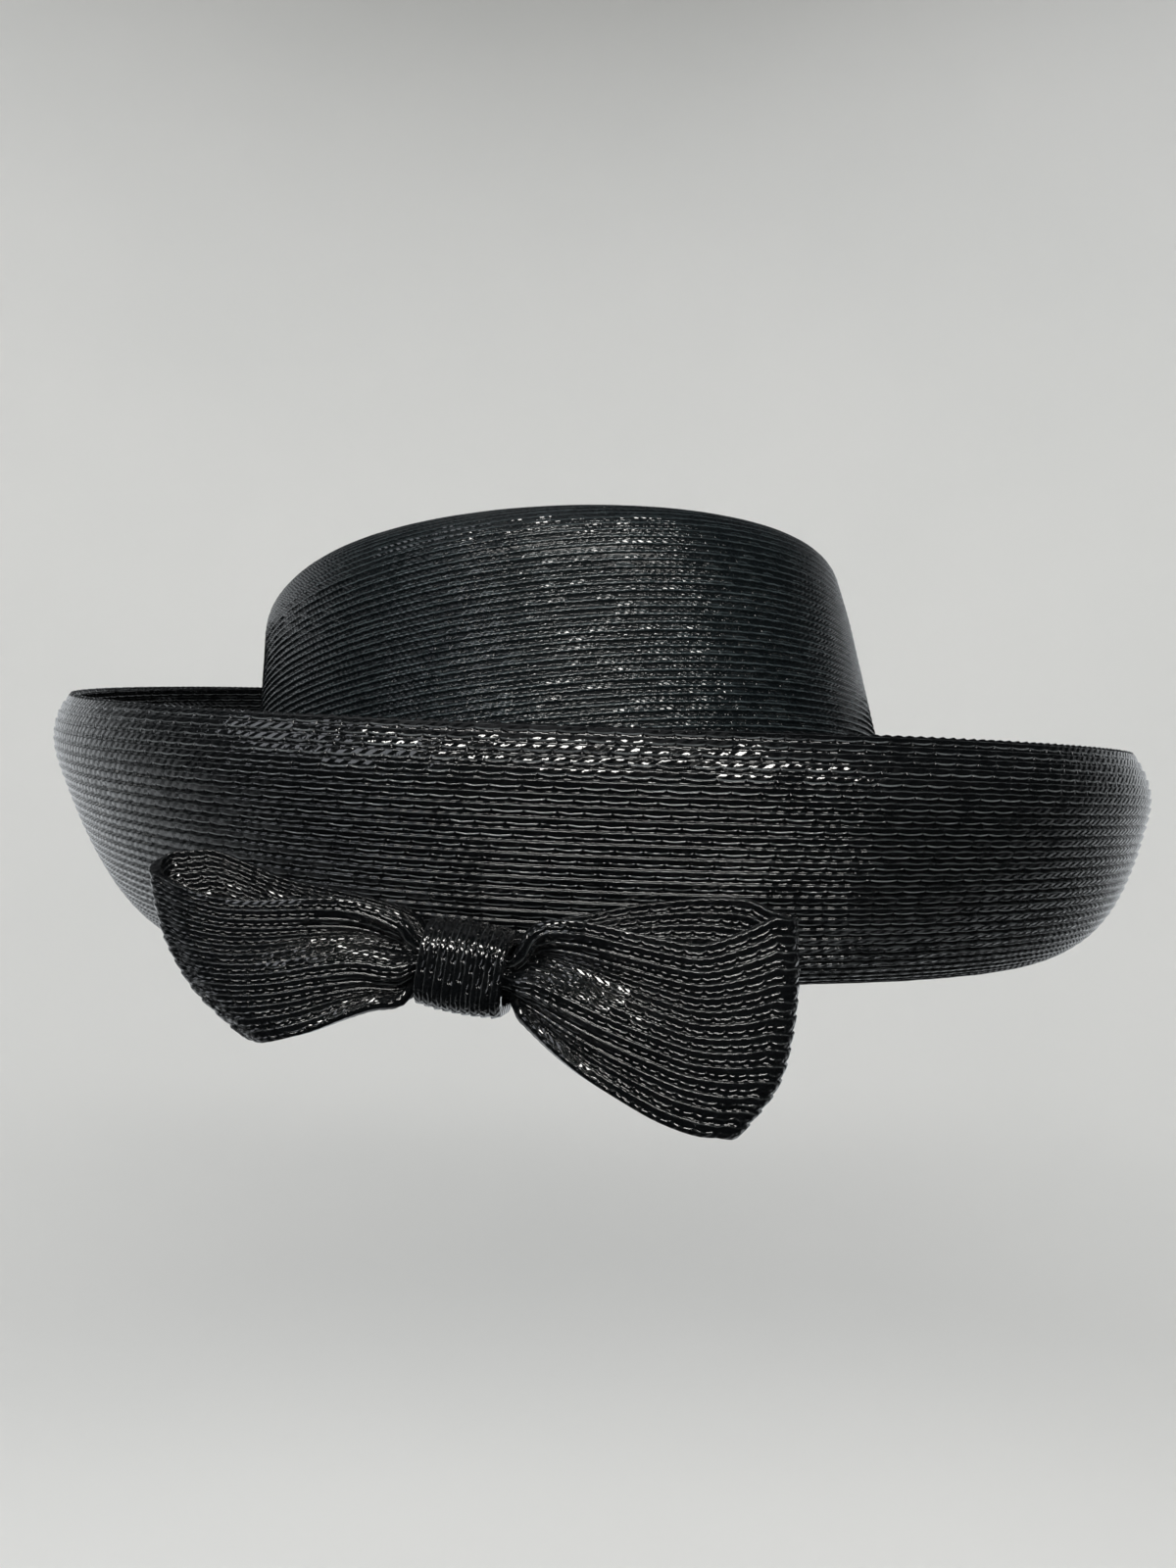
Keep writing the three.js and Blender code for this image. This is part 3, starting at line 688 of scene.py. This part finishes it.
# Rings of the outer face from the edge to the foot, and their row counts
def brimFace(phases):
    b = brimSizes
    turns = np.pi / 2 + 2 * np.pi * np.arange(b["columns"]) / b["columns"]
    dense = np.stack([brimPoint(turns, s) for s in np.linspace(1, 0, b["samples"])], axis=1)
    length = arcLengths(dense)
    footWidth = b["footRows"] * b["rowPitch"]
    edgeRows = rowRings(0, math.ceil((length.max() - footWidth) / b["rowPitch"]), phases)
    footRows = rowRings(0, b["footRows"], phases)[1:]
    distance = np.concatenate([
        np.minimum(edgeRows[:, None] * b["rowPitch"], length - footWidth),
        length - footWidth + footRows[:, None] * b["rowPitch"],
    ])
    return arcPoints(dense, distance), np.concatenate([edgeRows, edgeRows[-1] + footRows])


def buildBrim():
    b = brimSizes
    grid, counts = brimFace(b["phases"])
    insideGrid, insideCounts = brimFace(b["insidePhases"])
    normals, insideNormals = ringNormals(grid, True, -1), ringNormals(insideGrid, True, -1)
    outer = grid - normals * b["sunk"]
    inner = insideGrid - insideNormals * (b["wall"] - b["sunk"])
    edgeOut = grid[:1] - grid[1:2]
    edgeOut /= np.linalg.norm(edgeOut, axis=2, keepdims=True)
    edge = (outer[:1] + inner[:1]) / 2 + edgeOut * b["edgeRound"]
    lift = np.concatenate([np.ones(len(grid)), [0.0], np.full(len(insideGrid), b["insideLift"])])[:, None]
    return wallMesh(
        "brim", np.concatenate([outer[::-1], edge, inner]) * mm,
        np.concatenate([normals[::-1], edgeOut, -insideNormals]),
        np.concatenate([counts[::-1], [0.0], insideCounts]), lift, b["plait"] * mm,
    )


# Glossy straw: black rows, each with a thin bright lip and a chain of bright dashes, partly glints of the coat
# and partly painted highlights in the pale colour
brimStraw = {
    "black": "#030405", "worn": "#08090a", "pale": "#6c7072",
    "coat": 1.0, "coatRoughness": 0.05, "specular": 0.04, "roughness": (0.2, 0.4),
    "edge": 0.16, "dash": 1.0, "lip": 0.0, "facet": 0.5, "noise": 0.5, "tilt": 1.1,
    "chevron": False, "slant": 1.3,
    "pick": (1.0, 0.4), "lineWidth": 0.09, "lipPlace": 0.08, "lipSag": 0.3, "lipPaintedHighlight": 0.2, "dashPaintedHighlight": 0.7,
}
strawBrim = strawMaterial("lacquered_straw_gloss", brimStraw)
bakedPiece(
    "straw_brim", buildBrim(),
    {
        "Row Relief": brimSizes["relief"] * mm, "Unevenness": brimSizes["uneven"] * mm, "Material": strawBrim,
    },
    "brim",
)

# Edge of the brim: the last straw, its plaits standing out as small beads
edgeSizes = {
    "columns": 960, "sides": 6, "radius": 0.65, "plait": 4.8, "beads": 0.55, "rowShare": 0.9,
    "sampled": 0.985,  # the brim's share from which its direction at the edge is taken
}


def buildEdge():
    e, b = edgeSizes, brimSizes
    turns = 2 * np.pi * np.arange(e["columns"]) / e["columns"]
    face = np.stack([brimPoint(turns, 1), brimPoint(turns, e["sampled"])])
    normals = ringNormals(face, True, -1)[0]
    edgeOut = face[0] - face[1]
    edgeOut /= np.linalg.norm(edgeOut, axis=1, keepdims=True)
    centre = face[0] - normals * b["wall"] / 2
    angles = 2 * np.pi * np.arange(e["sides"]) / e["sides"]
    outward = np.stack([math.cos(a) * edgeOut + math.sin(a) * normals for a in angles])
    rows = np.linspace(0, e["rowShare"], e["sides"])
    return wallMesh(
        "edge", (centre + outward * e["radius"]) * mm, outward, rows, np.ones((e["sides"], 1)), e["plait"] * mm
    )


bakedPiece(
    "straw_brim_edge", buildEdge(),
    {"Row Relief": 0.0, "Plait Relief": edgeSizes["beads"] * mm, "Material": strawBrim}, None,
)

# Bow: two loops of braid rows and a knot, in the bow's own frame, then turned to its place on the brim

bowSizes = {
    "angle": -114.6, "tilt": 8, "rise": 1.7, "seat": 124.8,  # degrees round the hat and of roll, mm up and out
    "knot": (14.6, 14.7, 13.8), "corner": 4.5, "swell": 0.5, "knotWall": 2, "knotSlack": 0.2,
    "wall": 1.7, "clearance": 0.3,
    "reach": {"left": 58.2, "right": 54}, "height": 35, "depth": 10.5, "forward": 1.4, "forwardEnd": 0.3,
    "pleat": 2.6, "pleatPitch": 0.55, "pleatRidge": 0.95, "pressed": 0.4, "backPleat": 0.3,
    "pinchEnd": 0.08, "pinchCorner": 0.8, "footLift": 0.8,
    "rows": 14, "plait": 3.4, "relief": 0.34, "plaitRelief": 0.12, "sunk": 0.25,
    "knotRows": 9, "knotRelief": 0.42, "knotPlaitRelief": 0.15, "phases": (0.0, 0.04, 0.1, 0.18, 0.5, 0.8),
    "hiddenStations": 7, "freeStations": 58, "foldStations": 13, "cornerPoints": 9, "sidePoints": 10,
}
# from the knot to the fold: how far along, upper edge in front and behind, lower edge, how far the layers part
bowEdges = {
    "left": [
        (0.00, 0.12, 0.12, -0.12, 0.0), (0.10, 0.19, 0.20, -0.22, 0.1), (0.25, 0.23, 0.24, -0.26, 0.4),
        (0.40, 0.21, 0.25, -0.32, 0.8), (0.60, 0.16, 0.26, -0.41, 1.0), (0.75, 0.14, 0.30, -0.46, 1.0),
        (0.90, 0.16, 0.34, -0.50, 0.6), (1.00, 0.19, 0.31, -0.51, -0.1),
    ],
    "right": [
        (0.00, 0.12, 0.12, -0.12, 0.0), (0.10, 0.27, 0.27, -0.20, 0.1), (0.25, 0.32, 0.34, -0.30, 0.4),
        (0.40, 0.32, 0.41, -0.38, 0.8), (0.60, 0.31, 0.48, -0.46, 1.0), (0.75, 0.32, 0.52, -0.51, 1.0),
        (0.90, 0.41, 0.54, -0.54, 0.6), (1.00, 0.49, 0.51, -0.54, -0.1),
    ],
}
bowFold = {  # line of the outer fold from the lower edge to the upper one, as shares of the reach
    "left": [(0, 0.63), (0.25, 0.80), (0.5, 0.90), (0.75, 0.96), (1, 1.0)],
    "right": [(0, 0.89), (0.25, 0.98), (0.5, 1.0), (0.75, 0.99), (1, 0.96)],
}


def tableValue(table, column, share):  # smooth value of one column between a table's rows
    table = np.array(table, float)
    last = len(table) - 1
    i = int(np.clip(np.searchsorted(table[:, 0], share) - 1, 0, last - 1))
    before, start, end, after = table[[max(i - 1, 0), i, i + 1, min(i + 2, last)]]
    span = end[0] - start[0]
    slopeStart = (end[column] - before[column]) / (end[0] - before[0]) * span
    slopeEnd = (after[column] - start[column]) / (after[0] - start[0]) * span
    t = (share - start[0]) / span
    return (
        (2 * t ** 3 - 3 * t * t + 1) * start[column] + (t ** 3 - 2 * t * t + t) * slopeStart
        + (3 * t * t - 2 * t ** 3) * end[column] + (t ** 3 - t * t) * slopeEnd
    )


def mix(a, b, t):
    return a + (b - a) * t


# Mid-wall of a loop: along is -1 in the knot's middle, 0 at its end and 1 at the fold, across is an array
def loopPoint(side, along, across, turn):
    b = bowSizes
    share = max(along, 0.0)
    layer = math.cos(turn)
    edges = bowEdges[side]
    pinchedPleat = b["pleat"] * b["pressed"]
    pinchedHeight = b["knot"][2] / 2 - b["knotWall"] - (b["corner"] - b["knotWall"]) * b["pinchCorner"]
    pinchedOffset = b["knot"][1] / 2 - b["knotWall"] - b["clearance"] - b["wall"] / 2 - pinchedPleat
    knotEnd = b["knot"][0] / 2 + b["clearance"]
    upper, back = tableValue(edges, 1, share), tableValue(edges, 2, share)
    lift = b["height"] * (back - upper) * (1 - layer) / 2
    free = smoothStep(share, 0, b["pinchEnd"])
    top = mix(pinchedHeight, b["height"] * upper + lift, free)
    foot = mix(-pinchedHeight, b["height"] * tableValue(edges, 3, share) + lift * b["footLift"], free)
    offset = mix(pinchedOffset, b["depth"] / 2, tableValue(edges, 4, share))
    pleat = mix(pinchedPleat, b["pleat"] * (1 - share) ** 2, free) * (b["backPleat"] if layer < 0 else 1)
    wave = pleat * np.cos(2 * np.pi * (across - b["pleatRidge"]) / b["pleatPitch"])
    radius = mix(pinchedOffset, b["depth"] / 2, edges[-1][4])
    straight = b["reach"][side] * np.array([tableValue(bowFold[side], 1, a) for a in across]) - radius
    if along < 0:
        length = np.full(len(across), mix(knotEnd, b["clearance"] / 2, -along))
    else:
        length = mix(knotEnd, straight, share) + radius * math.sin(turn)
    ahead = b["forward"] * smoothStep(share, 0, b["forwardEnd"])
    sign = -1 if side == "left" else 1
    return np.stack([sign * length, -layer * (offset + wave) - ahead, mix(foot, top, across)], axis=-1)


bowPlace = (
    Matrix.Translation((
        bowSizes["seat"] * math.cos(math.radians(bowSizes["angle"])),
        bowSizes["seat"] * math.sin(math.radians(bowSizes["angle"])),
        bowSizes["rise"],
    ))
    @ Matrix.Rotation(math.radians(bowSizes["angle"] + 90), 4, "Z")
    @ Matrix.Rotation(math.radians(bowSizes["tilt"]), 4, "Y")
)


# A closed wall of the bow, moved from the bow's own frame to the hat's
def bowWall(name, section, directions, rows, lift, wrapped):
    place = np.array(bowPlace)
    return wallMesh(
        name, (section @ place[:3, :3].T + place[:3, 3]) * mm, directions @ place[:3, :3].T, rows, lift,
        bowSizes["plait"] * mm, wrapped=wrapped,
    )


def buildLoop(side):
    b = bowSizes
    hidden, free = np.linspace(-1, 0, b["hiddenStations"]), np.linspace(0, 1, b["freeStations"])[1:]
    stations = [(a, 0.0) for a in (*hidden, *free)]
    back = [(a, math.pi) for a, _ in reversed(stations)]
    stations += [(1.0, t) for t in np.linspace(0, math.pi, b["foldStations"])[1:-1]] + back
    counts = rowRings(0, b["rows"], b["phases"])
    grid = np.stack([loopPoint(side, a, 1 - counts / b["rows"], t) for a, t in stations], axis=1)
    normals = ringNormals(grid, False, -1 if side == "left" else 1)
    half = b["wall"] / 2 - b["sunk"]
    section = np.concatenate([grid + normals * half, (grid - normals * half)[::-1]])
    rows = np.concatenate([counts, counts[::-1]])
    return bowWall(
        f"loop_{side}", section, np.concatenate([normals, -normals[::-1]]), rows,
        np.ones((len(section), 1)), False,
    )


# Glossy narrow braid: brick-like cells with bright edges that crowd together at the knot; the edges are partly
# glints of the coat and partly painted highlights in the pale colour
bowStraw = {
    "black": "#030405", "worn": "#08090a", "pale": "#747879",
    "coat": 1.0, "coatRoughness": 0.05, "specular": 0.04, "roughness": (0.18, 0.4),
    "edge": 0.16, "dash": 0.7, "lip": 0.0, "facet": 0.5, "noise": 0.15, "tilt": 0.9,
    "chevron": True, "slant": 1.6,
    "pick": (2.0, -0.7), "lineWidth": 0.08, "lipPlace": 0.08, "lipSag": 0.3, "lipPaintedHighlight": 0.12, "dashPaintedHighlight": 0.2,
}
strawBow = strawMaterial("lacquered_straw_bow", bowStraw)
for side in ("left", "right"):
    bakedPiece(
        f"straw_loop_{side}", buildLoop(side),
        {
            "Row Relief": bowSizes["relief"] * mm, "Plait Relief": bowSizes["plaitRelief"] * mm,
            "Material": strawBow,
        },
        f"bow_loop_{side}",
    )


# Rounded rectangle in the bow's y-z plane, and its outward directions
def knotRing(grow, corner):
    b = bowSizes
    halfY, halfZ = b["knot"][1] / 2 + grow - corner, b["knot"][2] / 2 + grow - corner
    centres = [np.array([halfY * y, halfZ * z]) for y, z in ((1, 1), (-1, 1), (-1, -1), (1, -1))]
    points, outward = [], []
    for quarter, centre in enumerate(centres):
        for turn in np.linspace(quarter, quarter + 1, b["cornerPoints"]) * math.pi / 2:
            away = np.array([math.cos(turn), math.sin(turn)])
            points.append(centre + corner * away)
            outward.append(away)
        for share in np.linspace(0, 1, b["sidePoints"])[1:-1]:
            points.append(mix(centre, centres[(quarter + 1) % 4], share) + corner * away)
            outward.append(away)
    return np.array(points), np.array(outward)


def buildKnot():
    b = bowSizes
    counts = rowRings(0, b["knotRows"], b["phases"])
    faces = {"outer": ([], []), "inner": ([], [])}
    for count in counts:
        share = 2 * count / b["knotRows"] - 1
        sizes = {
            "outer": (b["swell"] * (1 - share ** 2) - b["sunk"], b["corner"]),
            "inner": (b["knotSlack"] - b["knotWall"], b["corner"] - b["knotWall"] + b["knotSlack"]),
        }
        for face, (points, directions) in faces.items():
            ring, outward = knotRing(*sizes[face])
            points.append(np.column_stack([np.full(len(ring), b["knot"][0] / 2 * share), ring]))
            directions.append(np.column_stack([np.zeros(len(ring)), outward]))
    (outer, outerOut), (inner, innerOut) = faces["outer"], faces["inner"]
    lift = np.concatenate([np.ones(len(counts)), np.zeros(len(counts))])[:, None]
    return bowWall(
        "knot", np.array(outer + inner[::-1]), np.array(outerOut + [-d for d in innerOut[::-1]]),
        np.concatenate([counts, counts[::-1]]), lift, True,
    )


bakedPiece(
    "straw_knot", buildKnot(),
    {
        "Row Relief": bowSizes["knotRelief"] * mm, "Plait Relief": bowSizes["knotPlaitRelief"] * mm,
        "Material": strawBow,
    },
    "bow_knot",
)
